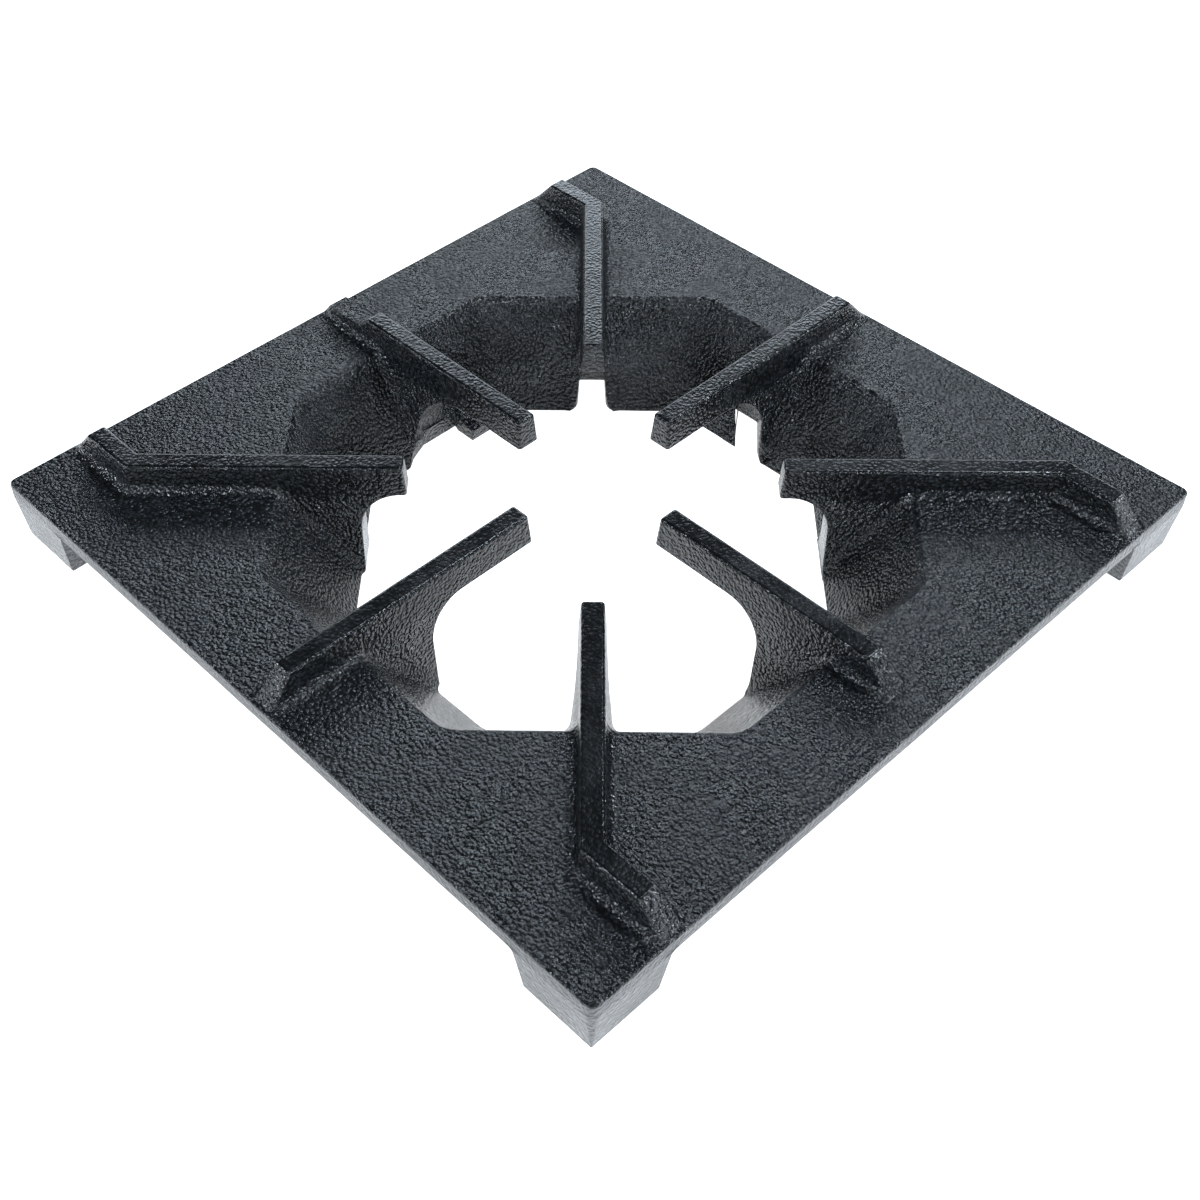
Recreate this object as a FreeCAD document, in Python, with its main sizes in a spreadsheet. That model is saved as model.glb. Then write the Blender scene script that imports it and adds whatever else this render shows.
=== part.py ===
import FreeCAD, Part
import os

import Sketcher

# Pan support of a gas hob: one iron casting.
# Millimetres. Z is up, the origin is under the middle of the casting, and the lower rim
# of the bowl is at height 0. The front of the support faces -Y.

NODE = "pan_support"
OCTAGON = 0.41421356
DIAGONAL = 0.70710678

doc = FreeCAD.newDocument(NODE)
sheet = doc.addObject("Spreadsheet::Sheet", "Sizes")


# Plate and bowl
PLATE_HALF = 152.5
PLATE_THICK = 6
PLATE_CORNER = 3
EDGE_ROUND = 1
BOWL_DEPTH = 36.5
RIM_APOTHEM = 115.3
MOUTH_APOTHEM = 86.2
WALL_WIDTH = 4.8
BOWL_SLOPE = 38.563
CREASE_ROUND = 14
SPARE_METAL = 6
CORE_GAP = 0.15
RIM_ROUND = 2.5

# Ribs
RIB_HEIGHT = 11.3
RIB_HALF_WIDTH = 4
RIB_DRAFT = 4.5
RIB_ROUND = 1.4
FINGER_DROP = 1.2
WEB_ROUND = 15
MID_TIP = 35.5
CORNER_TIP = 48.4
RIB_INSET = 34
ROOT_ROUND = 4

# Feet
FOOT_DROP = 20.5
FOOT_LENGTH = 33.5
FOOT_ROOT = 13
FOOT_DRAFT = 6.5
FOOT_FLARE = 3


class Size:
    """A length that knows both its number and its formula in the sheet."""

    def __init__(self, number, formula):
        self.number = float(number)
        self.formula = formula

    def combined(self, sign, other, number):
        return Size(number, "(%s %s %s)" % (self.formula, sign, other.formula))

    def __add__(self, other):
        other = as_size(other)
        return self.combined("+", other, self.number + other.number)

    def __sub__(self, other):
        other = as_size(other)
        return self.combined("-", other, self.number - other.number)

    def __mul__(self, other):
        other = as_size(other)
        return self.combined("*", other, self.number * other.number)

    def __truediv__(self, other):
        other = as_size(other)
        return self.combined("/", other, self.number / other.number)

    def __neg__(self):
        return self * -1


def as_size(value):
    if isinstance(value, Size):
        return value
    return Size(value, "(%.6f)" % value)


def driving(alias, number):
    """Write one driving dimension to the sheet and hand it back as a Size."""
    row = driving.row
    driving.row += 1
    sheet.set("A%d" % row, alias)
    sheet.set("B%d" % row, str(number))
    sheet.setAlias("B%d" % row, alias)
    return Size(number, "Sizes.%s" % alias)


driving.row = 1

plate_half = driving("plate_half", PLATE_HALF)
plate_thick = driving("plate_thick", PLATE_THICK)
plate_corner = driving("plate_corner", PLATE_CORNER)
edge_round = driving("edge_round", EDGE_ROUND)
bowl_depth = driving("bowl_depth", BOWL_DEPTH)
rim_apothem = driving("rim_apothem", RIM_APOTHEM)
mouth_apothem = driving("mouth_apothem", MOUTH_APOTHEM)
wall_width = driving("wall_width", WALL_WIDTH)
bowl_slope = driving("bowl_slope", BOWL_SLOPE)
crease_round = driving("crease_round", CREASE_ROUND)
spare_metal = driving("spare_metal", SPARE_METAL)
core_gap = driving("core_gap", CORE_GAP)
rim_round = driving("rim_round", RIM_ROUND)

rib_height = driving("rib_height", RIB_HEIGHT)
rib_half_width = driving("rib_half_width", RIB_HALF_WIDTH)
rib_draft = driving("rib_draft", RIB_DRAFT)
rib_round = driving("rib_round", RIB_ROUND)
finger_drop = driving("finger_drop", FINGER_DROP)
web_round = driving("web_round", WEB_ROUND)
mid_tip = driving("mid_tip", MID_TIP)
corner_tip = driving("corner_tip", CORNER_TIP)
rib_inset = driving("rib_inset", RIB_INSET)
root_round = driving("root_round", ROOT_ROUND)

foot_drop = driving("foot_drop", FOOT_DROP)
foot_length = driving("foot_length", FOOT_LENGTH)
foot_root = driving("foot_root", FOOT_ROOT)
foot_draft = driving("foot_draft", FOOT_DRAFT)
foot_flare = driving("foot_flare", FOOT_FLARE)

doc.recompute()

plate_under = bowl_depth - plate_thick
kink = plate_half - rib_inset
foot_start = plate_half - foot_length
rib_top = bowl_depth + rib_height
bottom = -spare_metal


def bind(thing, name, size):
    """Set a property to a size and keep it tied to the sheet."""
    setattr(thing, name, as_size(size).number)
    thing.setExpression(name, as_size(size).formula)


def outline(name, corners, body=None):
    """Closed sketch through the corners, each corner tied to the sheet in x and y."""
    if body:
        sketch = body.newObject("Sketcher::SketchObject", name)
        ground = [plane for plane in body.Origin.OriginFeatures if plane.Role == "XY_Plane"][0]
        sketch.AttachmentSupport = [(ground, "")]
        sketch.MapMode = "FlatFace"
    else:
        sketch = doc.addObject("Sketcher::SketchObject", name)
    corners = [(as_size(x), as_size(y)) for x, y in corners]
    points = [FreeCAD.Vector(x.number, y.number, 0) for x, y in corners]
    count = len(points)
    for index in range(count):
        sketch.addGeometry(Part.LineSegment(points[index], points[(index + 1) % count]), False)
    for index in range(count):
        sketch.addConstraint(Sketcher.Constraint("Coincident", index, 2, (index + 1) % count, 1))
    for index, corner in enumerate(corners):
        for kind, size in zip(("DistanceX", "DistanceY"), corner):
            number = sketch.addConstraint(Sketcher.Constraint(kind, -1, 1, index, 1, size.number))
            label = "%s_%d" % (kind[-1].lower(), index)
            sketch.renameConstraint(number, label)
            sketch.setExpression("Constraints." + label, size.formula)
    return sketch


def pull(name, sketch, up, down=0):
    """Extrude a sketch both ways along its own normal."""
    solid = doc.addObject("Part::Extrusion", name)
    solid.Base = sketch
    solid.DirMode = "Normal"
    solid.Solid = True
    bind(solid, "LengthFwd", up)
    bind(solid, "LengthRev", down)
    return solid


def drafted(name, corners, low, height, draft, neutral_top, spread_out, angle=0, soft_corner=0):
    """Upright body over a plan outline whose sides lean by the draft.

    The plan keeps its size at the top when neutral_top is set, otherwise at the bottom;
    away from there the body grows when spread_out is set and shrinks when it is not.
    A soft corner is the radius of the upright edge over the first corner of the plan.
    """
    body = doc.addObject("PartDesign::Body", name)
    sketch = outline(name + "_plan", corners, body)
    pad = body.newObject("PartDesign::Pad", name + "_pad")
    pad.Profile = sketch
    bind(pad, "Length", height)
    doc.recompute()
    if soft_corner:
        pad = soften_first_corner(body, pad, corners[0], soft_corner)
    level = as_size(height).number if neutral_top else 0
    sides = []
    neutral = []
    for number, face in enumerate(pad.Shape.Faces, start=1):
        if abs(face.normalAt(0.1, 0.1).z) < 0.1:
            sides.append("Face%d" % number)
        elif abs(face.CenterOfMass.z - level) < 0.01:
            neutral.append("Face%d" % number)
    lean = body.newObject("PartDesign::Draft", name + "_draft")
    lean.Base = (pad, sides)
    lean.NeutralPlane = (pad, neutral)
    lean.Reversed = neutral_top != spread_out
    bind(lean, "Angle", draft)
    body.Tip = lean
    body.Placement = FreeCAD.Placement(
        FreeCAD.Vector(0, 0, as_size(low).number), FreeCAD.Rotation(FreeCAD.Vector(0, 0, 1), angle)
    )
    body.setExpression("Placement.Base.z", as_size(low).formula)
    return body


def soften_first_corner(body, pad, corner, radius):
    """Round the upright edge of a pad that stands over one corner of its plan."""
    x, y = (as_size(value).number for value in corner)
    fillet = body.newObject("PartDesign::Fillet", pad.Name + "_soft")
    edges = []
    for number, edge in enumerate(pad.Shape.Edges, start=1):
        middle = edge.CenterOfMass
        if abs(middle.x - x) < 0.01 and abs(middle.y - y) < 0.01:
            edges.append("Edge%d" % number)
    fillet.Base = (pad, edges)
    bind(fillet, "Radius", radius)
    doc.recompute()
    return fillet


def joined(name, parts):
    """Fuse several solids into one."""
    fuse = doc.addObject("Part::MultiFuse", name)
    fuse.Shapes = parts
    fuse.Refine = True
    return fuse


def shared(name, parts):
    """Keep only the volume that all the solids share."""
    common = doc.addObject("Part::MultiCommon", name)
    common.Shapes = parts
    return common


def cut(name, base, tool):
    """Cut one solid out of another."""
    result = doc.addObject("Part::Cut", name)
    result.Base = base
    result.Tool = tool
    return result


def rounded(name, base, chooser):
    """Round the edges for which chooser(edge) gives a radius."""
    doc.recompute()
    fillet = doc.addObject("Part::Fillet", name)
    fillet.Base = base
    chosen = []
    for number, edge in enumerate(base.Shape.Edges, start=1):
        radius = chooser(edge)
        if radius:
            chosen.append((number, radius.number, radius.number))
    fillet.Edges = chosen
    return fillet


def octagon_cone(name, apothem, height):
    """Octagonal bowl shape up to a height, with the given apothem where it crosses height 0.

    It starts below height 0, so that the fillets run out in metal that is cut off later.
    """
    low = apothem - spare_metal * (rim_apothem - mouth_apothem) / bowl_depth
    side = low * OCTAGON
    quarter = [(low, side), (side, low)]
    corners = list(quarter)
    corners += [(-y, x) for x, y in quarter]
    corners += [(-x, -y) for x, y in quarter]
    corners += [(y, -x) for x, y in quarter]
    return drafted(name, corners, bottom, height - bottom, bowl_slope, False, True)


def is_level(edge, height):
    box = edge.BoundBox
    return abs(box.ZMin - height) < 0.01 and abs(box.ZMax - height) < 0.01


def reach(edge):
    """Largest distance of the edge from the middle, along x or y."""
    box = edge.BoundBox
    return max(abs(box.XMin), abs(box.XMax), abs(box.YMin), abs(box.YMax))


def outer_corner(edge):
    """Radius for the upright edges at the corners of the plate, nothing for the others."""
    box = edge.BoundBox
    near = 2 * plate_half.number - 8
    at_corner = abs(box.XMax + box.XMin) > near and abs(box.YMax + box.YMin) > near
    return plate_corner if at_corner and box.ZLength > 5 and box.XLength < 4 else 0


def make_feet():
    """Four drafted L skirts under the plate corners."""
    feet = []
    for label, sx, sy in (("a", -1, -1), ("b", 1, -1), ("c", 1, 1), ("d", -1, 1)):
        inner = plate_half - foot_root
        plan = [
            (plate_half, plate_half),
            (foot_start, plate_half),
            (foot_start, inner),
            (inner, inner),
            (inner, foot_start),
            (plate_half, foot_start),
        ]
        corners = [(x * sx, y * sy) for x, y in plan]
        low = plate_under - foot_drop
        feet.append(drafted("foot_" + label, corners, low, foot_drop, foot_draft, True, False, 0, plate_corner))
    return feet


def make_shell():
    """Plate with its feet and the octagonal bowl, hollow and rounded."""
    plate = doc.addObject("Part::Box", "plate")
    bind(plate, "Length", plate_half * 2)
    bind(plate, "Width", plate_half * 2)
    bind(plate, "Height", plate_thick)
    plate.setExpression("Placement.Base.x", (-plate_half).formula)
    plate.setExpression("Placement.Base.y", (-plate_half).formula)
    plate.setExpression("Placement.Base.z", plate_under.formula)
    plate = rounded("plate_soft", plate, outer_corner)
    outer = octagon_cone("bowl_outside", mouth_apothem + wall_width, bowl_depth - 3)
    outer = rounded("bowl_outside_soft", outer, lambda edge: crease_round + 5 if edge.BoundBox.ZLength > 9 else 0)
    inner = octagon_cone("bowl_inside", mouth_apothem, bowl_depth)
    inner = rounded("bowl_inside_soft", inner, lambda edge: crease_round if edge.BoundBox.ZLength > 9 else 0)
    solid = joined("plate_bowl_feet", [plate, outer] + make_feet())
    shell = cut("shell", solid, inner)

    def radius(edge):
        box = edge.BoundBox
        if is_level(edge, bowl_depth.number):
            return rim_round if reach(edge) < 130 else edge_round
        if not is_level(edge, plate_under.number):
            return 0
        ends = [(box.XMin, box.XLength), (-box.XMax, box.XLength)]
        ends += [(box.YMin, box.YLength), (-box.YMax, box.YLength)]
        at_skirt_end = any(abs(place - foot_start.number) < 0.1 and length < 0.1 for place, length in ends)
        return foot_flare if at_skirt_end else 0

    return rounded("shell_rounded", shell, radius)


def stand(sketch, angle):
    """Turn a sketch drawn as radius and height so that it stands upright and faces the angle."""
    upright = FreeCAD.Rotation(FreeCAD.Vector(1, 0, 0), 90)
    turn = FreeCAD.Rotation(FreeCAD.Vector(0, 0, 1), angle)
    sketch.Placement = FreeCAD.Placement(FreeCAD.Vector(0, 0, 0), turn.multiply(upright))


def make_keeper():
    """Space in which a rib may be solid: above the plate and inside the bowl wall."""
    above = doc.addObject("Part::Box", "above_plate")
    bind(above, "Length", plate_half * 2)
    bind(above, "Width", plate_half * 2)
    bind(above, "Height", rib_height + 10)
    above.setExpression("Placement.Base.x", (-plate_half).formula)
    above.setExpression("Placement.Base.y", (-plate_half).formula)
    above.setExpression("Placement.Base.z", (bowl_depth - 3).formula)
    within = octagon_cone("within_wall", mouth_apothem + wall_width * 0.5, bowl_depth - 1)
    return joined("rib_space", [above, within])


def cut_view(name, corners, angle, spread):
    """Side view drawn as radius and height, pulled to both sides of the rib."""
    sketch = outline(name + "_view", corners)
    stand(sketch, angle)
    return pull(name, sketch, spread, spread)


def finger_core(name, web, bend, angle, spread):
    """Space under a finger: level under the finger, then curved down to the end of the web.

    Where the web ends further out than the mouth, the core follows the inside of the bowl below it.
    """
    finger = bowl_depth - finger_drop
    low = bottom - 2
    web = as_size(web)
    corners = [(-5, low), (web, low), (web, finger), (-5, finger)]
    if web.number > mouth_apothem.number:
        fall = (rim_apothem - mouth_apothem) / bowl_depth
        inside = mouth_apothem - core_gap
        corners[1:2] = [(inside + low * fall, low), (web, (web - inside) / fall)]
    block = cut_view(name + "_block", corners, angle, spread)

    def radius(edge):
        middle = edge.CenterOfMass
        distance = (middle.x ** 2 + middle.y ** 2) ** 0.5
        near = abs(distance - web.number) < 0.1 and is_level(edge, finger.number)
        return as_size(bend) if near else 0

    return rounded(name, block, radius)


def slope_from(flat, foot, top, bottom):
    """Two points of an end slope, carried on upwards past the rib top."""
    lean = (foot.number - flat.number) / (top.number - bottom.number)
    return [(flat - 3 * lean, top + 3), (foot, bottom)]


def finish_rib(name, parts):
    """Trim the rib blank to its end view and round its top and tip edges."""
    rib = shared(name + "_cut", parts)

    def radius(edge):
        box = edge.BoundBox
        touches_top = abs(box.ZMax - rib_top.number) < 0.01
        at_kink = touches_top and box.ZLength > 1 and 60 < reach(edge) < 125 and box.ZMin < bowl_depth.number
        return rib_round if touches_top and not at_kink else 0

    return rounded(name, rib, radius)


def end_view(inner, end):
    """Outline that keeps a rib from its inner end out to its end slope."""
    corners = [(inner, rib_top + 3)] + end
    return corners + [(end[-1][0], bottom - 1), (inner, bottom - 1)]


def make_mid_rib(name, angle, tip, end, keeper):
    """Straight rib from a side of the plate towards the middle, still solid under its finger."""
    half = rib_half_width
    stop = plate_half - 1.3
    plan = [(tip, -half), (stop, -half), (stop, half), (tip, half)]
    blank = drafted(name + "_blank", plan, bottom, rib_top - bottom, rib_draft, True, True, angle)
    side = cut_view(name + "_end", end_view(as_size(20), end), angle, as_size(14))
    return finish_rib(name, [blank, side, keeper])


def make_corner_rib(name, sx, sy, keeper):
    """Rib that runs along the diagonal and then turns parallel to the side of the plate."""
    half = rib_half_width
    aside = half * DIAGONAL
    gap = half / DIAGONAL
    stop = plate_half - 1.3
    plan = [
        (corner_tip - aside, corner_tip + aside),
        (kink - half, kink - half + gap),
        (kink - half, stop),
        (kink + half, stop),
        (kink + half, kink + half - gap),
        (corner_tip + aside, corner_tip - aside),
    ]
    corners = [(x * sx, y * sy) for x, y in plan]
    blank = drafted(name + "_blank", corners, bottom, rib_top - bottom, rib_draft, True, True)
    end = slope_from(plate_half - 11.5, stop, rib_top, bowl_depth)
    side = cut_view(name + "_end", end_view(as_size(20), end), 90 * sy, as_size(140))
    return finish_rib(name, [blank, side, keeper])


def make_ribs(keeper):
    stop = plate_half - 1.3
    plain_end = slope_from(plate_half - 11.7, stop, rib_top, bowl_depth)
    short_end = slope_from(plate_half - 24.3, plate_half - 12.9, rib_top, bowl_depth)
    step_end = slope_from(plate_half - 29.7, plate_half - 24.3, rib_top, bowl_depth + 6.4)
    step_end += [(plate_half - 6, bowl_depth + 6.2), (stop, bowl_depth)]
    return [
        make_mid_rib("rib_left", 180, mid_tip, plain_end, keeper),
        make_mid_rib("rib_front", 270, mid_tip + 1, short_end, keeper),
        make_mid_rib("rib_right", 0, mid_tip, plain_end, keeper),
        make_mid_rib("rib_back", 90, mid_tip - 1, step_end, keeper),
        make_corner_rib("rib_a", -1, -1, keeper),
        make_corner_rib("rib_b", 1, -1, keeper),
        make_corner_rib("rib_c", 1, 1, keeper),
        make_corner_rib("rib_d", -1, 1, keeper),
    ]


def make_cores():
    """Cores that free the fingers and leave the concave webs, each so far outside the mouth."""
    shapes = [
        ("core_left", -2.9, web_round, 180),
        ("core_front", -0.9, web_round, 270),
        ("core_right", 2.3, 20, 0),
        ("core_back", 5.8, 27, 90),
        ("core_a", -0.2, web_round, 225),
        ("core_b", 0, web_round, 315),
        ("core_c", 12.8, web_round, 45),
        ("core_d", -1.2, web_round, 135),
    ]
    return [finger_core(name, mouth_apothem + out, bend, angle, as_size(13)) for name, out, bend, angle in shapes]


def upright_cutter(name, corners, low, high):
    """Upright block over a plan outline, from one height to another."""
    sketch = outline(name + "_plan", corners)
    sketch.Placement.Base.z = as_size(low).number
    sketch.setExpression("Placement.Base.z", as_size(low).formula)
    return pull(name, sketch, as_size(high) - low)


def make_openings():
    """Three openings in the lower edge of the bowl, beside the back, right and corner ribs."""
    corner = [(80, 11), (86.3, 9.2), (87.2, 7.4), (88.8, 6.3), (91, 5.6), (97, 5)]
    corner += [(r, -t) for r, t in reversed(corner)]
    corner_plan = [((r - t) * DIAGONAL, (r + t) * DIAGONAL) for r, t in corner]
    corner_slot = upright_cutter("corner_slot", corner_plan, as_size(-5), as_size(19))
    right = [(78, -4.4), (84.2, 1.8), (97, 14.6), (97, 2.8), (89.7, -4.5), (85.8, -9.4), (83.8, -13.6), (78, -15)]
    right_slot = upright_cutter("right_slot", right, as_size(-5), as_size(19))
    back = [(-19, 84), (-16, 86.6), (-12, 89.3), (-8.5, 91), (-4, 92), (12.9, 92), (12.9, 76), (-19, 76)]
    back_scallop = upright_cutter("back_scallop", back, as_size(-5), as_size(9))
    return [corner_slot, right_slot, back_scallop]


def make_lug(keeper):
    """Small locating lug on the bowl rim, right of the back rib."""
    side = outline("lug_side_view", [(81.4, 0), (93, 0), (93, 9), (85, 6), (81.4, 5)])
    stand(side, 90)
    block = pull("lug_block", side, 24, -12.9)
    return shared("lug", [block, keeper])


def round_roots(whole, shell, ribs):
    """Round the inner corners where the ribs grow out of the plate and the bowl."""
    doc.recompute()
    shell_skin = Part.Compound(shell.Shape.Faces)
    skins = [(rib, Part.Compound(rib.Shape.Faces)) for rib in ribs]

    def radius(edge):
        middle = edge.valueAt((edge.FirstParameter + edge.LastParameter) / 2)
        point = Part.Vertex(middle)
        if max(abs(middle.x), abs(middle.y)) > plate_half.number - 2.5 or middle.z < bottom.number + 0.1:
            return 0
        for rib, skin in skins:
            if not rib.Shape.BoundBox.isInside(middle) or skin.distToShape(point)[0] > 0.01:
                continue
            if shell_skin.distToShape(point)[0] < 0.01:
                return root_round
        return 0

    return rounded("roots_rounded", whole, radius)


def make_casting():
    keeper = make_keeper()
    shell = make_shell()
    ribs = make_ribs(keeper)
    whole = joined("whole", [shell] + ribs)
    soft = round_roots(whole, shell, ribs)
    below = doc.addObject("Part::Box", "below_rim")
    bind(below, "Length", plate_half * 2)
    bind(below, "Width", plate_half * 2)
    bind(below, "Height", spare_metal * 2)
    below.setExpression("Placement.Base.x", (-plate_half).formula)
    below.setExpression("Placement.Base.y", (-plate_half).formula)
    below.setExpression("Placement.Base.z", (-spare_metal * 2).formula)
    freed = cut("freed", soft, joined("cores", make_cores() + [below] + make_openings()))
    return joined("casting", [freed, make_lug(keeper)])


casting = make_casting()
doc.recompute()
for thing in doc.Objects:
    faulty = "Invalid" in thing.State or "Error" in thing.State
    if faulty or (hasattr(thing, "Shape") and (thing.Shape.isNull() or not thing.Shape.isValid())):
        raise RuntimeError("%s did not build: %s" % (thing.Name, thing.State))

os.makedirs("parts", exist_ok=True)
casting.Shape.exportStep("parts/%s.step" % NODE)
print(NODE, len(casting.Shape.Solids), "solid,", round(casting.Shape.Volume), "mm3", casting.Shape.BoundBox)
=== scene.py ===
"""Dressed model of a cast-iron hob pan support.

The casting of the fixed frame is copied, its hard edges are eased, its faces are divided on a fine
grid and waved like a sand casting, and a seasoned black iron finish is laid over it. The studio has
a plain pale floor, soft light from behind and a camera at the photograph's angle.
"""

from __future__ import annotations

import logging
import math
from dataclasses import dataclass, field
from enum import Enum

import bmesh
import bpy
import numpy as np
from mathutils import Matrix, Vector

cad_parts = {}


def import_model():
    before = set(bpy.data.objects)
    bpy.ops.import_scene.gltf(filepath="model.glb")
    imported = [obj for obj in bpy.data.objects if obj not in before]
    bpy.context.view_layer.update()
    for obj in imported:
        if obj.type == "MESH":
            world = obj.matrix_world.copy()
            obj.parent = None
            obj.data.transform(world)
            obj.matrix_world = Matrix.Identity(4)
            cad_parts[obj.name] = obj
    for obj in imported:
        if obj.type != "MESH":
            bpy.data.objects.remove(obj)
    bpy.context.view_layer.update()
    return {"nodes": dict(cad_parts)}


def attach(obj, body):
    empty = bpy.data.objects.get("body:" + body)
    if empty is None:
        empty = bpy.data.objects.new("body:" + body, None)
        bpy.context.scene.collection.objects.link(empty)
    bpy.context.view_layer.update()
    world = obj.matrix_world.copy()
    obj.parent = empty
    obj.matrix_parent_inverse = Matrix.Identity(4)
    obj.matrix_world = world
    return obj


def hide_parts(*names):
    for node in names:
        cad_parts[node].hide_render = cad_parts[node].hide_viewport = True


LOG = logging.getLogger("pan_support")
MM = 0.001


class Zone(Enum):
    """Attributes on the casting's points that the finish reads, each from 0 to 1."""

    # Painted glints along the outer edges.
    EDGE_GLINT = "edge_glint"
    HOLLOW = "hollow"
    COARSE = "coarse"
    RIB_TOP = "rib_top"
    # Painted light on the cut faces.
    LIT_CUT_FACE = "lit_cut_face"
    SKIRT = "skirt"


@dataclass(frozen=True)
class Form:
    """Main sizes of the casting, in metres, as the solid has them.

    Attributes:
        plate_half: Half the side of the square plate.
        plate_top: Height of the plate's upper face.
        rib_top: Height of the faces that carry the pan.
        web_reach: Distance from the middle, across the flats, where the webs end.
    """

    plate_half: float = 152.5 * MM
    plate_top: float = 36.5 * MM
    rib_top: float = 47.8 * MM
    web_reach: float = 98 * MM


def smooth_step(low: float, high: float, value: np.ndarray) -> np.ndarray:
    """Ease from 0 to 1 between two limits: three times the square less twice the cube.

    Args:
        low: Value where the result is 0.
        high: Value where the result is 1.
        value: Values to ease.

    Returns:
        Eased values, from 0 to 1.
    """
    part = np.clip((value - low) / (high - low), 0.0, 1.0)
    return part * part * (3.0 - 2.0 * part)


@dataclass(frozen=True)
class LatticeNoise:
    """Smooth noise that blends random values kept on the corners of a cubic lattice.

    Attributes:
        cell: Side of a lattice cell in metres.
        seed: Seed of the random values.
        corners: Number of lattice corners a side, after which the values repeat.
    """

    cell: float
    seed: int
    corners: int = 48

    def at(self, points: np.ndarray) -> np.ndarray:
        """Blend the eight corner values round each point with an eased weight on each axis.

        Args:
            points: Places as rows of x, y, z.

        Returns:
            One value a point, from -1 to 1.
        """
        values = np.random.default_rng(self.seed).uniform(-1.0, 1.0, (self.corners,) * 3)
        place = points / self.cell
        base = np.floor(place).astype(int)
        ease = smooth_step(0.0, 1.0, place - base)
        total = np.zeros(len(points))
        for corner in np.ndindex(2, 2, 2):
            weight = np.prod(np.where(np.array(corner) == 1, ease, 1.0 - ease), axis=1)
            index = (base + np.array(corner)) % self.corners
            total += weight * values[index[:, 0], index[:, 1], index[:, 2]]
        return total


def cut_at_planes(triangles: np.ndarray, axis: int, step: float) -> np.ndarray:
    """Cut triangles along evenly spaced planes across one axis.

    Each pass cuts every triangle at the middle one of the planes that cross it. A corner that is
    alone on its side of the plane gives one triangle there and two on the other side. A triangle
    with a corner on the plane gives two.

    Args:
        triangles: Corners as an array of triangle, corner and coordinate.
        axis: Number of the axis that the planes cross.
        step: Distance between two planes in metres.

    Returns:
        The corners of the cut triangles.
    """
    nearly = 1e-6
    while True:
        reach = triangles[:, :, axis] / step
        first = np.floor(reach.min(axis=1) + nearly) + 1
        last = np.ceil(reach.max(axis=1) - nearly) - 1
        crossed = last >= first
        if not crossed.any():
            return triangles
        work = triangles[crossed]
        plane = np.floor((first + last)[crossed] / 2.0) * step
        away = work[:, :, axis] - plane[:, None]
        side = np.where(np.abs(away) < nearly * step, 0, np.sign(away)).astype(int)
        pieces = [triangles[~crossed]]
        pieces += cut_with_corner_on_plane(work, away, side)
        pieces += cut_with_corner_alone(work, away, side)
        triangles = np.concatenate(pieces)


def turned(work: np.ndarray, away: np.ndarray, first: np.ndarray) -> tuple[np.ndarray, np.ndarray]:
    """Renumber each triangle's corners so that a chosen one comes first, keeping their order round.

    Args:
        work: Corners of the triangles.
        away: Distance of each corner from the plane.
        first: Number of the corner that comes first, for each triangle.

    Returns:
        The corners and the distances in the new order.
    """
    order = (first[:, None] + np.arange(3)) % 3
    rows = np.arange(len(work))[:, None]
    return work[rows, order], away[rows, order]


def crossing(start: np.ndarray, end: np.ndarray, here: np.ndarray, there: np.ndarray) -> np.ndarray:
    """Point of each edge on the plane: start plus the edge times its share of the distance."""
    return start + (end - start) * (here / (here - there))[:, None]


def cut_with_corner_alone(work: np.ndarray, away: np.ndarray, side: np.ndarray) -> list[np.ndarray]:
    """Cut the triangles that have one corner on one side of the plane and two on the other.

    Args:
        work: Corners of the triangles.
        away: Distance of each corner from the plane.
        side: Side of the plane that each corner is on.

    Returns:
        The cut triangles as a list of arrays.
    """
    chosen = (side != 0).all(axis=1)
    alone = np.argmax(side[chosen] == -np.sign(side[chosen].sum(axis=1))[:, None], axis=1)
    corner, gap = turned(work[chosen], away[chosen], alone)
    one = crossing(corner[:, 0], corner[:, 1], gap[:, 0], gap[:, 1])
    two = crossing(corner[:, 0], corner[:, 2], gap[:, 0], gap[:, 2])
    return [
        np.stack([corner[:, 0], one, two], axis=1),
        np.stack([one, corner[:, 1], corner[:, 2]], axis=1),
        np.stack([one, corner[:, 2], two], axis=1),
    ]


def cut_with_corner_on_plane(work: np.ndarray, away: np.ndarray, side: np.ndarray) -> list[np.ndarray]:
    """Cut the triangles that have one corner on the plane and one on each side of it.

    Args:
        work: Corners of the triangles.
        away: Distance of each corner from the plane.
        side: Side of the plane that each corner is on.

    Returns:
        The cut triangles as a list of arrays.
    """
    chosen = (side == 0).any(axis=1)
    corner, gap = turned(work[chosen], away[chosen], np.argmax(side[chosen] == 0, axis=1))
    middle = crossing(corner[:, 1], corner[:, 2], gap[:, 1], gap[:, 2])
    return [
        np.stack([corner[:, 0], corner[:, 1], middle], axis=1),
        np.stack([corner[:, 0], middle, corner[:, 2]], axis=1),
    ]


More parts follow.
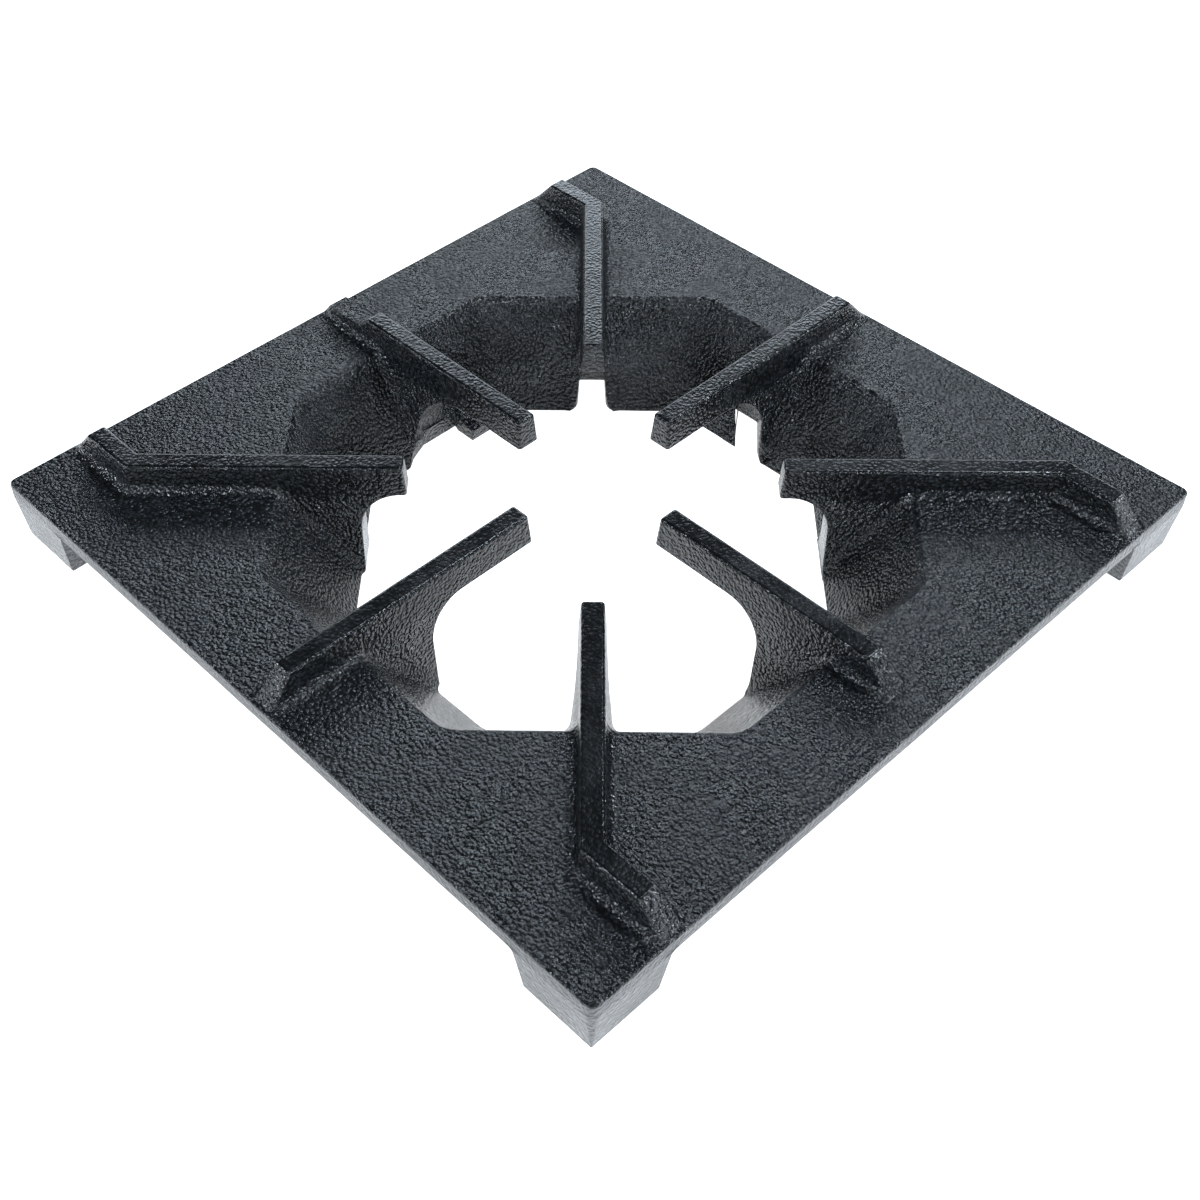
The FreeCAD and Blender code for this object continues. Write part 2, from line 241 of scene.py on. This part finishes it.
@dataclass(frozen=True)
class SeasonedIron:
    """Finish of black seasoned cast iron with a pebbly sand-cast grain.

    Attributes:
        dark: Colour on the plain skin and in the pits of the grain, where it is painted shade.
        skin: Colour of the raised grain, lighter than the painted shade in the pits.
        dust: Brownish colour that gathers in the hollows.
        bright: Colour of the painted glints on the edges and of the painted light on the cut faces; the
            skirts are also made paler towards it.
        pebble: Size of one pebble of the grain in metres.
        speck: Size of the finer specks in metres.
        patch: Size of the duller and glossier patches in metres.
        relief: Height of the grain in metres.
        gloss: Roughness of the skin.
        density: Index of refraction of the oil film that gives the gloss.
    """

    dark: tuple[float, float, float] = (0.0020, 0.0024, 0.0028)
    skin: tuple[float, float, float] = (0.018, 0.022, 0.026)
    dust: tuple[float, float, float] = (0.050, 0.046, 0.040)
    bright: tuple[float, float, float] = (0.19, 0.20, 0.21)
    pebble: float = 1.45 * MM
    speck: float = 0.9 * MM
    patch: float = 22 * MM
    relief: float = 1.4 * MM
    gloss: float = 0.25
    density: float = 1.5

    def material(self) -> bpy.types.Material:
        """Build the node material.

        Returns:
            The finished material.
        """
        return IronNodes(self).build()


@dataclass
class IronNodes:
    """Node tree of the seasoned iron, built from one finish.

    Attributes:
        finish: Colours and grain to use.
    """

    finish: SeasonedIron
    tree: bpy.types.NodeTree = field(init=False)
    place: bpy.types.NodeSocket = field(init=False)

    def node(self, kind: str, **settings: object) -> bpy.types.Node:
        """Add a node and set its properties."""
        made = self.tree.nodes.new(kind)
        for name, value in settings.items():
            setattr(made, name, value)
        return made

    def feed(self, source: object, target: bpy.types.NodeSocket) -> None:
        """Join a socket to a target, or set the target's own value."""
        if isinstance(source, bpy.types.NodeSocket):
            self.tree.links.new(source, target)
        else:
            target.default_value = source

    def math(self, operation: str, one: object, two: object = 0.0, clamp: bool = False) -> object:
        """Add a sum of two values.

        Args:
            operation: Name of the sum, as the node has it.
            one: First value or socket.
            two: Second value or socket.
            clamp: Whether the result is kept from 0 to 1.

        Returns:
            The output socket.
        """
        made = self.node("ShaderNodeMath", operation=operation, use_clamp=clamp)
        self.feed(one, made.inputs[0])
        self.feed(two, made.inputs[1])
        return made.outputs[0]

    def ramp(self, value: object, low: float, high: float, start: float = 0.0, end: float = 1.0) -> object:
        """Add a smooth change from one value to another between two limits.

        Args:
            value: Socket to read.
            low: Reading where the change starts.
            high: Reading where it ends.
            start: Result below the change.
            end: Result above it.

        Returns:
            The output socket.
        """
        made = self.node("ShaderNodeMapRange", interpolation_type="SMOOTHSTEP")
        self.feed(value, made.inputs["Value"])
        for name, number in (("From Min", low), ("From Max", high), ("To Min", start), ("To Max", end)):
            made.inputs[name].default_value = number
        return made.outputs["Result"]

    def blend(self, share: object, one: object, two: object) -> object:
        """Mix two colours, given as sockets or as red, green and blue."""
        made = self.node("ShaderNodeMix", data_type="RGBA")
        self.feed(share, made.inputs[0])
        for colour, place in ((one, 6), (two, 7)):
            plain = not isinstance(colour, bpy.types.NodeSocket)
            self.feed((*colour, 1.0) if plain else colour, made.inputs[place])
        return made.outputs[2]

    def noise(self, size: float, detail: float = 2.0, rough: float = 0.5) -> object:
        """Add fractal noise with features of a given size in metres."""
        made = self.node("ShaderNodeTexNoise", noise_dimensions="3D")
        self.feed(self.place, made.inputs["Vector"])
        made.inputs["Scale"].default_value = 1.0 / size
        made.inputs["Detail"].default_value = detail
        made.inputs["Roughness"].default_value = rough
        return made.outputs["Fac"]

    def pebbles(self, size: float) -> object:
        """Add rounded cells, 1 in the middle of a pebble and 0 between pebbles."""
        made = self.node("ShaderNodeTexVoronoi", feature="F1", voronoi_dimensions="3D")
        self.feed(self.place, made.inputs["Vector"])
        made.inputs["Scale"].default_value = 1.0 / size
        return self.ramp(made.outputs["Distance"], 0.8, 0.1)

    def zone(self, zone: Zone) -> object:
        """Read one of the casting's point attributes."""
        return self.node("ShaderNodeAttribute", attribute_name=zone.value).outputs["Fac"]

    def build(self) -> bpy.types.Material:
        """Lay out the whole tree.

        Returns:
            The finished material.
        """
        material = bpy.data.materials.new("seasoned_iron")
        material.use_nodes = True
        self.tree = material.node_tree
        self.tree.nodes.clear()
        self.place = self.node("ShaderNodeTexCoord").outputs["Object"]
        shader = self.node("ShaderNodeBsdfPrincipled")
        self.paint(shader)
        output = self.node("ShaderNodeOutputMaterial")
        self.feed(shader.outputs[0], output.inputs["Surface"])
        return material

    def paint(self, shader: bpy.types.Node) -> None:
        """Give the shader its colour, gloss and relief.

        Args:
            shader: The surface shader to feed.
        """
        finish = self.finish
        edge_glint, hollow, coarse = self.zone(Zone.EDGE_GLINT), self.zone(Zone.HOLLOW), self.zone(Zone.COARSE)
        top, lit_cut_face, skirt = self.zone(Zone.RIB_TOP), self.zone(Zone.LIT_CUT_FACE), self.zone(Zone.SKIRT)
        large = self.pebbles(finish.pebble)
        speck = self.noise(finish.speck, 1.0)
        patch = self.noise(finish.patch, 1.0)
        grain = self.math("ADD", self.math("MULTIPLY", large, 0.5), self.math("MULTIPLY", speck, 0.7))
        # Painted shade: the pits of the grain are darkened against its raised pebbles.
        raised = self.ramp(grain, 0.4, 1.0)
        raised = self.math("MULTIPLY", raised, self.math("SUBTRACT", 1.0, self.math("MULTIPLY", top, 0.6)))
        colour = self.blend(raised, finish.dark, finish.skin)
        dusty = self.math("MULTIPLY", hollow, self.ramp(speck, 0.4, 0.68), clamp=True)
        colour = self.blend(self.math("MULTIPLY", dusty, 0.8), colour, finish.dust)
        # The outer side faces of the plate are made paler, speckled with the grain.
        skirt_pale = self.math("MULTIPLY", skirt, self.ramp(grain, 0.25, 0.6, 0.25, 1.0))
        # Painted highlight: light specks along the outer edges, where glints fall.
        painted_light_mask = self.math("MULTIPLY", edge_glint, self.ramp(speck, 0.42, 0.62))
        light = self.math("MAXIMUM", self.math("MULTIPLY", skirt_pale, 0.25), self.math("MULTIPLY", painted_light_mask, 0.12))
        # Painted light on the cut faces.
        light = self.math("MAXIMUM", light, self.math("MULTIPLY", lit_cut_face, 0.7), clamp=True)
        colour = self.blend(light, colour, finish.bright)
        self.feed(colour, shader.inputs["Base Color"])
        rough = self.ramp(patch, 0.35, 0.65, finish.gloss - 0.03, finish.gloss + 0.05)
        rough = self.math("ADD", rough, self.math("MULTIPLY", hollow, 0.15))
        rough = self.math("SUBTRACT", rough, self.math("MULTIPLY", top, 0.03))
        rough = self.math("SUBTRACT", rough, self.math("MULTIPLY", coarse, 0.05))
        self.feed(rough, shader.inputs["Roughness"])
        shader.inputs["Metallic"].default_value = 0.0
        shader.inputs["IOR"].default_value = finish.density
        shader.inputs["Specular IOR Level"].default_value = 0.5
        strength = self.math("ADD", 0.5, self.math("MULTIPLY", coarse, 0.5))
        strength = self.math("SUBTRACT", strength, self.math("MULTIPLY", top, 0.36))
        strength = self.math("SUBTRACT", strength, self.math("MULTIPLY", lit_cut_face, 0.35), clamp=True)
        bump = self.node("ShaderNodeBump")
        bump.inputs["Distance"].default_value = finish.relief
        self.feed(strength, bump.inputs["Strength"])
        self.feed(grain, bump.inputs["Height"])
        self.feed(bump.outputs["Normal"], shader.inputs["Normal"])


@dataclass
class Casting:
    """The pan support itself, refined from the solid of the same name.

    Attributes:
        finish: Iron finish to dress it with.
        form: Main sizes of the solid.
        node: Name of the solid it stands for.
        edge: Width of the soft edge laid on every hard edge.
        hard: Angle above which an edge counts as hard, in radians.
        grid: Spacing of the fine division.
        wave: Depth of the long casting waves.
        ripple: Depth of the short ones.
    """

    finish: SeasonedIron
    form: Form = Form()
    node: str = "pan_support"
    edge: float = 0.45 * MM
    hard: float = math.radians(38)
    grid: float = 3.2 * MM
    wave: float = 0.10 * MM
    ripple: float = 0.06 * MM

    def build(self, solid: bpy.types.Object) -> bpy.types.Object:
        """Make the refined casting from the solid.

        Args:
            solid: Object of the solid in the fixed frame.

        Returns:
            The dressed casting.
        """
        mesh = self.eased_copy(solid)
        finest = self.grid
        for step in (finest * 16, finest * 4, finest):
            triangles = self.corners(mesh)
            for axis in range(3):
                triangles = cut_at_planes(triangles, axis, step)
            self.fill(mesh, triangles)
            self.weld(mesh, step)
        self.wave_surface(mesh, self.points_and_normals(solid.data)[0])
        self.mark_zones(mesh)
        casting = bpy.data.objects.new("pan_support_casting", mesh)
        bpy.context.scene.collection.objects.link(casting)
        mesh.shade_smooth()
        weigh = casting.modifiers.new("face_weight", "WEIGHTED_NORMAL")
        weigh.keep_sharp = False
        return self.dress(casting)

    def eased_copy(self, solid: bpy.types.Object) -> bpy.types.Mesh:
        """Copy the solid's mesh, weld its triangles and bevel its hard edges.

        Args:
            solid: Object of the solid in the fixed frame.

        Returns:
            The new mesh, in triangles.
        """
        shape = bmesh.new()
        shape.from_mesh(solid.data)
        bmesh.ops.remove_doubles(shape, verts=shape.verts, dist=0.004 * MM)
        bmesh.ops.dissolve_limit(
            shape,
            angle_limit=math.radians(0.3),
            verts=shape.verts,
            edges=shape.edges,
            use_dissolve_boundaries=False,
        )
        sharp = [edge for edge in shape.edges if edge.is_manifold and edge.calc_face_angle() > self.hard]
        LOG.info("%d hard edges eased", len(sharp))
        bmesh.ops.bevel(
            shape, geom=sharp, offset=self.edge, segments=2, profile=0.5, affect="EDGES", clamp_overlap=False
        )
        bmesh.ops.triangulate(shape, faces=shape.faces)
        mesh = bpy.data.meshes.new("pan_support_casting")
        shape.to_mesh(mesh)
        shape.free()
        return mesh

    @staticmethod
    def corners(mesh: bpy.types.Mesh) -> np.ndarray:
        """Corners of a triangle mesh as an array of triangle, corner and coordinate."""
        points = np.empty(len(mesh.vertices) * 3)
        mesh.vertices.foreach_get("co", points)
        index = np.empty(len(mesh.loops), dtype=int)
        mesh.loops.foreach_get("vertex_index", index)
        return points.reshape(-1, 3)[index].reshape(-1, 3, 3)

    @staticmethod
    def fill(mesh: bpy.types.Mesh, triangles: np.ndarray) -> None:
        """Put loose triangles into a mesh in place of what it holds."""
        mesh.clear_geometry()
        points = triangles.reshape(-1, 3)
        mesh.from_pydata(points, [], np.arange(len(points)).reshape(-1, 3))
        mesh.update()

    @staticmethod
    def weld(mesh: bpy.types.Mesh, step: float) -> None:
        """Join the loose triangles, and join flat neighbours inside one cell of the grid.

        Args:
            mesh: Mesh to weld in place.
            step: Spacing of the grid.
        """
        shape = bmesh.new()
        shape.from_mesh(mesh)
        bmesh.ops.remove_doubles(shape, verts=shape.verts, dist=0.003 * MM)
        bmesh.ops.dissolve_degenerate(shape, edges=shape.edges, dist=0.003 * MM)
        cells = {
            face: tuple(math.floor(value / step) for value in face.calc_center_median())
            for face in shape.faces
        }
        inner = [
            edge
            for edge in shape.edges
            if len(edge.link_faces) == 2
            and cells[edge.link_faces[0]] == cells[edge.link_faces[1]]
            and edge.link_faces[0].normal.dot(edge.link_faces[1].normal) > 0.99999
        ]
        bmesh.ops.dissolve_edges(shape, edges=inner, use_verts=True, use_face_split=False)
        bmesh.ops.triangulate(shape, faces=shape.faces, quad_method="BEAUTY", ngon_method="BEAUTY")
        shape.to_mesh(mesh)
        shape.free()
        LOG.info("casting has %d faces", len(mesh.polygons))

    @staticmethod
    def points_and_normals(mesh: bpy.types.Mesh) -> tuple[np.ndarray, np.ndarray]:
        """Points of a mesh and the normals at them, as rows."""
        points = np.empty(len(mesh.vertices) * 3)
        mesh.vertices.foreach_get("co", points)
        normals = np.empty(len(mesh.vertices) * 3)
        mesh.vertex_normals.foreach_get("vector", normals)
        return points.reshape(-1, 3), normals.reshape(-1, 3)

    def wave_surface(self, mesh: bpy.types.Mesh, solid: np.ndarray) -> None:
        """Sink each point by the sum of a long and a short noise, never outwards.

        Args:
            mesh: Mesh to wave in place.
            solid: Points of the solid, whose box the mesh stays in.
        """
        points, normals = self.points_and_normals(mesh)
        long = 0.5 + 0.5 * LatticeNoise(11 * MM, 4).at(points)
        short = 0.5 + 0.5 * LatticeNoise(5 * MM, 9).at(points)
        depth = self.wave * long + self.ripple * short
        moved = np.clip(points - normals * depth[:, None], solid.min(axis=0), solid.max(axis=0))
        mesh.vertices.foreach_set("co", moved.astype(np.float32).ravel())
        mesh.update()

    def mark_zones(self, mesh: bpy.types.Mesh) -> None:
        """Store where the casting gets painted edge glints, is hollow, coarse or flat on top, gets painted
        light on its cut faces, or is a skirt.

        Args:
            mesh: Mesh that gets one attribute for each zone.
        """
        points, normals = self.points_and_normals(mesh)
        bend = self.bend(mesh, points, normals)
        form = self.form
        flat_reach = np.abs(points[:, :2]).max(axis=1)
        slant_reach = (np.abs(points[:, 0]) + np.abs(points[:, 1])) / math.sqrt(2.0)
        apothem = np.maximum(flat_reach, slant_reach)
        height = points[:, 2]
        up = normals[:, 2]
        below = smooth_step(form.plate_top - 1 * MM, form.plate_top - 4 * MM, height)
        outside = smooth_step(form.plate_half - 14 * MM, form.plate_half - 9 * MM, flat_reach)
        level = smooth_step(0.6, 0.85, up)
        raised = smooth_step(form.plate_top + 5 * MM, form.rib_top - 0.6 * MM, height)
        radius = np.hypot(points[:, 0], points[:, 1])
        inwards = -(points[:, 0] * normals[:, 0] + points[:, 1] * normals[:, 1]) / np.maximum(radius, MM)
        steep = smooth_step(0.5, 0.2, np.abs(up))
        cut_face = smooth_step(0.8, 0.95, inwards) * steep * smooth_step(20 * MM, 17 * MM, height)
        cut_face *= smooth_step(form.web_reach + 6 * MM, form.web_reach, apothem)
        # Cut faces in the two quarters across the view get painted light; those in the other two are treated
        # like flat tops.
        painted_light_mask = smooth_step(0.3, 0.4, -points[:, 0] * points[:, 1] / radius**2)
        above_plate = smooth_step(form.plate_top - 3 * MM, form.plate_top, height)
        under_edge = smooth_step(form.plate_top - 0.5 * MM, form.plate_top - 1.5 * MM, height)
        zones = {
            # Painted edge glints along the outer edges, stronger up on the ribs.
            Zone.EDGE_GLINT: smooth_step(0.15, 0.7, bend) * (0.35 + 0.65 * raised),
            Zone.HOLLOW: smooth_step(-0.12, -0.4, bend) * above_plate,
            Zone.COARSE: below * (1.0 - outside),
            Zone.RIB_TOP: np.maximum(level * raised, cut_face * (1.0 - painted_light_mask)),
            Zone.LIT_CUT_FACE: cut_face * painted_light_mask,
            Zone.SKIRT: outside * steep * under_edge,
        }
        for zone, values in zones.items():
            layer = mesh.attributes.new(zone.value, "FLOAT", "POINT")
            layer.data.foreach_set("value", values.astype(np.float32))

    @staticmethod
    def bend(mesh: bpy.types.Mesh, points: np.ndarray, normals: np.ndarray) -> np.ndarray:
        """Mean bend at each point, above 0 on outer edges and below 0 in hollows.

        The bend along an edge is the change of the normal along it, times the edge, over its
        squared length, times a millimetre.

        Args:
            mesh: Mesh whose edges are read.
            points: Its points.
            normals: The normals at them.

        Returns:
            One value a point.
        """
        ends = np.empty(len(mesh.edges) * 2, dtype=int)
        mesh.edges.foreach_get("vertices", ends)
        one, two = ends.reshape(-1, 2).T
        along = points[two] - points[one]
        turn = normals[two] - normals[one]
        bend = (along * turn).sum(axis=1) / np.maximum((along * along).sum(axis=1), (0.3 * MM) ** 2) * MM
        total = np.zeros(len(points))
        count = np.zeros(len(points))
        for end in (one, two):
            np.add.at(total, end, bend)
            np.add.at(count, end, 1.0)
        return total / np.maximum(count, 1.0)

    def dress(self, casting: bpy.types.Object) -> bpy.types.Object:
        """Give the casting its finish and tie it to the fixed frame."""
        casting.data.materials.append(self.finish.material())
        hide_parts(self.node)
        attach(casting, "root")
        return casting


@dataclass
class SoftLight:
    """A large soft lamp that looks at the middle of the casting.

    Attributes:
        name: Name of the lamp.
        azimuth: Direction it stands in, in degrees, with 0 at the front and 90 at the right.
        elevation: Height of that direction above the floor, in degrees.
        distance: Distance from the casting.
        size: Width and height of its face.
        power: Power in watts.
        colour: Red, green and blue of its light.
    """

    name: str
    azimuth: float
    elevation: float
    distance: float
    size: tuple[float, float]
    power: float
    colour: tuple[float, float, float] = (1.0, 1.0, 1.0)

    def build(self) -> bpy.types.Object:
        """Make the lamp.

        Returns:
            The lamp's object.
        """
        lamp = bpy.data.lights.new(self.name, "AREA")
        lamp.shape = "RECTANGLE"
        lamp.size, lamp.size_y = self.size
        lamp.energy = self.power
        lamp.color = self.colour
        holder = bpy.data.objects.new(self.name, lamp)
        bpy.context.scene.collection.objects.link(holder)
        towards = direction(self.azimuth, self.elevation)
        aim = Vector((0.0, 0.0, 0.02))
        holder.location = aim + towards * self.distance
        holder.rotation_euler = towards.to_track_quat("Z", "Y").to_euler()
        return holder


def direction(azimuth: float, elevation: float) -> Vector:
    """Unit vector towards an azimuth and an elevation in degrees, azimuth 0 being the front."""
    turn = math.radians(azimuth)
    rise = math.radians(elevation)
    return Vector((math.sin(turn) * math.cos(rise), -math.cos(turn) * math.cos(rise), math.sin(rise)))


@dataclass
class Viewpoint:
    """The photograph's camera.

    Attributes:
        target: Point that the optical axis passes through.
        distance: Distance of the camera from it.
        azimuth: Azimuth of the camera in degrees.
        elevation: Elevation of the camera in degrees.
        roll: Turn about the optical axis in degrees.
        lens: Focal length for a 36 mm wide picture.
        shift: Shift of the picture against the axis, in picture widths.
    """

    target: tuple[float, float, float] = (-57.746 * MM, -25.236 * MM, 36.5 * MM)
    distance: float = 579.3 * MM
    azimuth: float = -42.513
    elevation: float = 46.118
    roll: float = -1.222
    lens: float = 51.0
    shift: tuple[float, float] = (0.0624, 0.00125)

    def build(self) -> bpy.types.Object:
        """Make the camera and set it as the scene's own.

        Returns:
            The camera's object.
        """
        camera = bpy.data.cameras.new("camera")
        camera.lens = self.lens
        camera.sensor_width = 36.0
        camera.shift_x, camera.shift_y = self.shift
        camera.clip_start = 0.01
        holder = bpy.data.objects.new("camera", camera)
        bpy.context.scene.collection.objects.link(holder)
        back = direction(self.azimuth, self.elevation)
        look = back.to_track_quat("Z", "Y").to_matrix().to_4x4()
        roll = Matrix.Rotation(math.radians(self.roll), 4, "Z")
        place = Matrix.Translation(Vector(self.target) + back * self.distance)
        holder.matrix_world = place @ look @ roll
        bpy.context.scene.camera = holder
        return holder


@dataclass
class Studio:
    """Pale floor, soft lamps and even surroundings.

    Attributes:
        floor_half: Half the side of the floor.
        floor_colour: Grey level of the floor.
        floor_glow: Light that the floor gives off, so that it stays nearly white.
        surroundings: Strength of the even light from all sides.
        lamps: The soft lamps.
    """

    floor_half: float = 4.0
    floor_colour: float = 0.9
    floor_glow: float = 1.15
    surroundings: float = 0.05
    lamps: tuple[SoftLight, ...] = (
        SoftLight("back_light", 137.0, 24.0, 1.6, (1.6, 0.4), 12.5, (0.80, 0.90, 1.0)),
        SoftLight("high_light", 85.0, 62.0, 1.5, (0.2, 0.2), 8.0, (0.80, 0.90, 1.0)),
        SoftLight("camera_fill", -42.0, 34.0, 1.7, (0.25, 0.2), 17.0, (0.82, 0.91, 1.0)),
        SoftLight("left_light", -118.0, 26.0, 1.6, (0.2, 0.2), 15.0, (0.82, 0.91, 1.0)),
        SoftLight("right_light", 38.0, 26.0, 1.6, (0.2, 0.2), 15.0, (0.82, 0.91, 1.0)),
    )

    def build(self) -> bpy.types.Object:
        """Make the floor, the lamps and the surroundings.

        Returns:
            The floor.
        """
        half = self.floor_half
        mesh = bpy.data.meshes.new("floor")
        corners = [(-half, -half, 0), (half, -half, 0), (half, half, 0), (-half, half, 0)]
        mesh.from_pydata(corners, [], [(0, 1, 2, 3)])
        floor = bpy.data.objects.new("floor", mesh)
        bpy.context.scene.collection.objects.link(floor)
        mesh.materials.append(self.floor_material())
        for lamp in self.lamps:
            lamp.build()
        # A plain view keeps the pale floor white and the black iron black, as in the photograph.
        bpy.context.scene.view_settings.view_transform = "Standard"
        world = bpy.data.worlds.new("surroundings")
        world.use_nodes = True
        world.node_tree.nodes["Background"].inputs["Color"].default_value = (0.93, 0.96, 1.0, 1.0)
        world.node_tree.nodes["Background"].inputs["Strength"].default_value = self.surroundings
        bpy.context.scene.world = world
        return floor

    def floor_material(self) -> bpy.types.Material:
        """Plain pale finish of the floor."""
        material = bpy.data.materials.new("pale_floor")
        material.use_nodes = True
        shader = material.node_tree.nodes["Principled BSDF"]
        grey = (self.floor_colour,) * 3 + (1.0,)
        shader.inputs["Base Color"].default_value = grey
        shader.inputs["Roughness"].default_value = 0.9
        shader.inputs["Specular IOR Level"].default_value = 0.1
        shader.inputs["Emission Color"].default_value = grey
        shader.inputs["Emission Strength"].default_value = self.floor_glow
        return material


def main() -> None:
    """Load the fixed frame, build the casting and set up the studio."""
    logging.basicConfig(level=logging.INFO, format="%(name)s: %(message)s")
    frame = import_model()
    casting = Casting(SeasonedIron()).build(frame["nodes"]["pan_support"])
    LOG.info("%s: %d faces", casting.name, len(casting.data.polygons))
    floor = Studio().build()
    LOG.info("%s laid", floor.name)
    camera = Viewpoint().build()
    LOG.info("%s set at %s", camera.name, tuple(round(value, 3) for value in camera.location))


if __name__ == "__main__":
    main()
